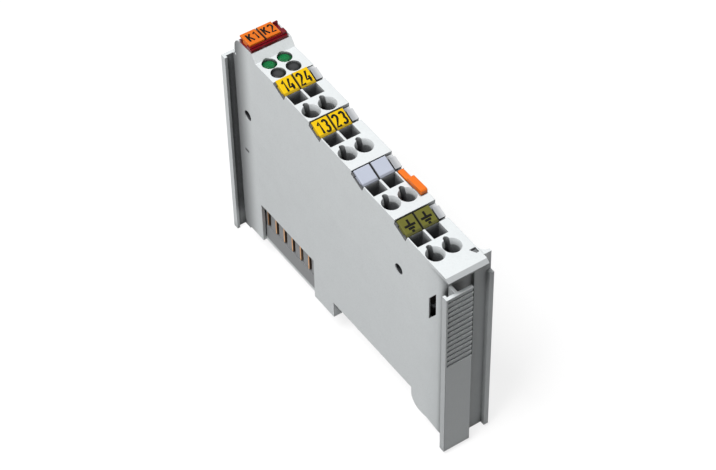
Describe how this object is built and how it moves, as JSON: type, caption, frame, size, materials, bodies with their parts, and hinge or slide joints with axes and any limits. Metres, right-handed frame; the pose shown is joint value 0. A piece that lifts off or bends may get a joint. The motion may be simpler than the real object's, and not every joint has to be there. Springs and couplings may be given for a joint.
{
  "type": "relay output module",
  "caption": "Slim rail-mounted module with relay contacts, cage clamp terminals under round wire openings, status lamps, marker tags and a pull tab that frees it from the rail.",
  "frame": {"origin": "on the mounting rail's centre line, at the rail's front edge, in the middle of the module's width", "axes": "+Z out of the connection face, +Y along the module to the lamp end, +X across the rail stack"},
  "size_m": [0.0149, 0.1006, 0.0773],
  "materials": {
    "housing_plastic": "fine matt moulding",
    "face_plastic": "fine matt moulding",
    "red_clear_plastic": "clear red",
    "orange_plastic": "satin",
    "dark_plastic": "satin",
    "yellow_tag": "satin",
    "blank_tag": "satin",
    "olive_tag": "satin",
    "green_lens": "clear green",
    "smoked_lens": "smoked",
    "board": "solder mask",
    "lamp_chip": "satin",
    "relay_plastic": "satin",
    "chip_plastic": "matt",
    "spring_steel": "bright strip",
    "contact_metal": "bright",
    "contact_base": "matt"
  },
  "bodies": {
    "module": {"bus_chip": "chip_plastic", "bus_spring_base": "contact_base", "bus_springs": "contact_metal", "capacitors": "chip_plastic", "circuit_board": "board", "clamp_row1_left": "spring_steel", "clamp_row1_right": "spring_steel", "clamp_row2_left": "spring_steel", "clamp_row2_right": "spring_steel", "clamp_row3_left": "spring_steel", "clamp_row3_right": "spring_steel", "clamp_row4_left": "spring_steel", "clamp_row4_right": "spring_steel", "contact_comb": "contact_base", "current_bar_row1_left": "contact_metal", "current_bar_row1_right": "contact_metal", "current_bar_row2_left": "contact_metal", "current_bar_row2_right": "contact_metal", "current_bar_row3": "contact_metal", "current_bar_row4": "contact_metal", "data_contacts": "contact_metal", "group_marker_carrier": "red_clear_plastic", "group_tag_left": "orange_plastic", "group_tag_right": "orange_plastic", "housing": "housing_plastic", "lamp_1_left": "green_lens", "lamp_1_right": "green_lens", "lamp_2_left": "smoked_lens", "lamp_2_right": "smoked_lens", "lamp_board": "board", "lamp_chips": "lamp_chip", "marker_carrier_1": "dark_plastic", "marker_carrier_2": "dark_plastic", "marker_carrier_3": "dark_plastic", "marker_carrier_4": "dark_plastic", "relay_1": "relay_plastic", "relay_2": "relay_plastic", "resistors": "chip_plastic", "side_cover": "housing_plastic", "tag_row1_left": "yellow_tag", "tag_row1_right": "yellow_tag", "tag_row2_left": "yellow_tag", "tag_row2_right": "yellow_tag", "tag_row3_left": "blank_tag", "tag_row3_right": "blank_tag", "tag_row4_left": "olive_tag", "tag_row4_right": "olive_tag", "terminal_block": "face_plastic"},
    "tab": {"release_tab": "orange_plastic", "return_spring": "spring_steel"},
    "catch": {"rail_catch": "contact_base"}
  },
  "joints": [
    {"name": "tab_slide", "type": "slide", "parent": "module", "child": "tab", "axis": [0, 0, 1], "range_m": [0, 0.0045], "stiffness_N_per_m": 300, "springref_m": -0.004, "deforming": ["return_spring"]},
    {"name": "catch_slide", "type": "slide", "parent": "module", "child": "catch", "axis": [0, -1, 0], "range_m": [0, 0.00225]}
  ],
  "couplings": [
    {"joint": "catch_slide", "follows": "tab_slide", "ratio": 0.5}
  ]
}
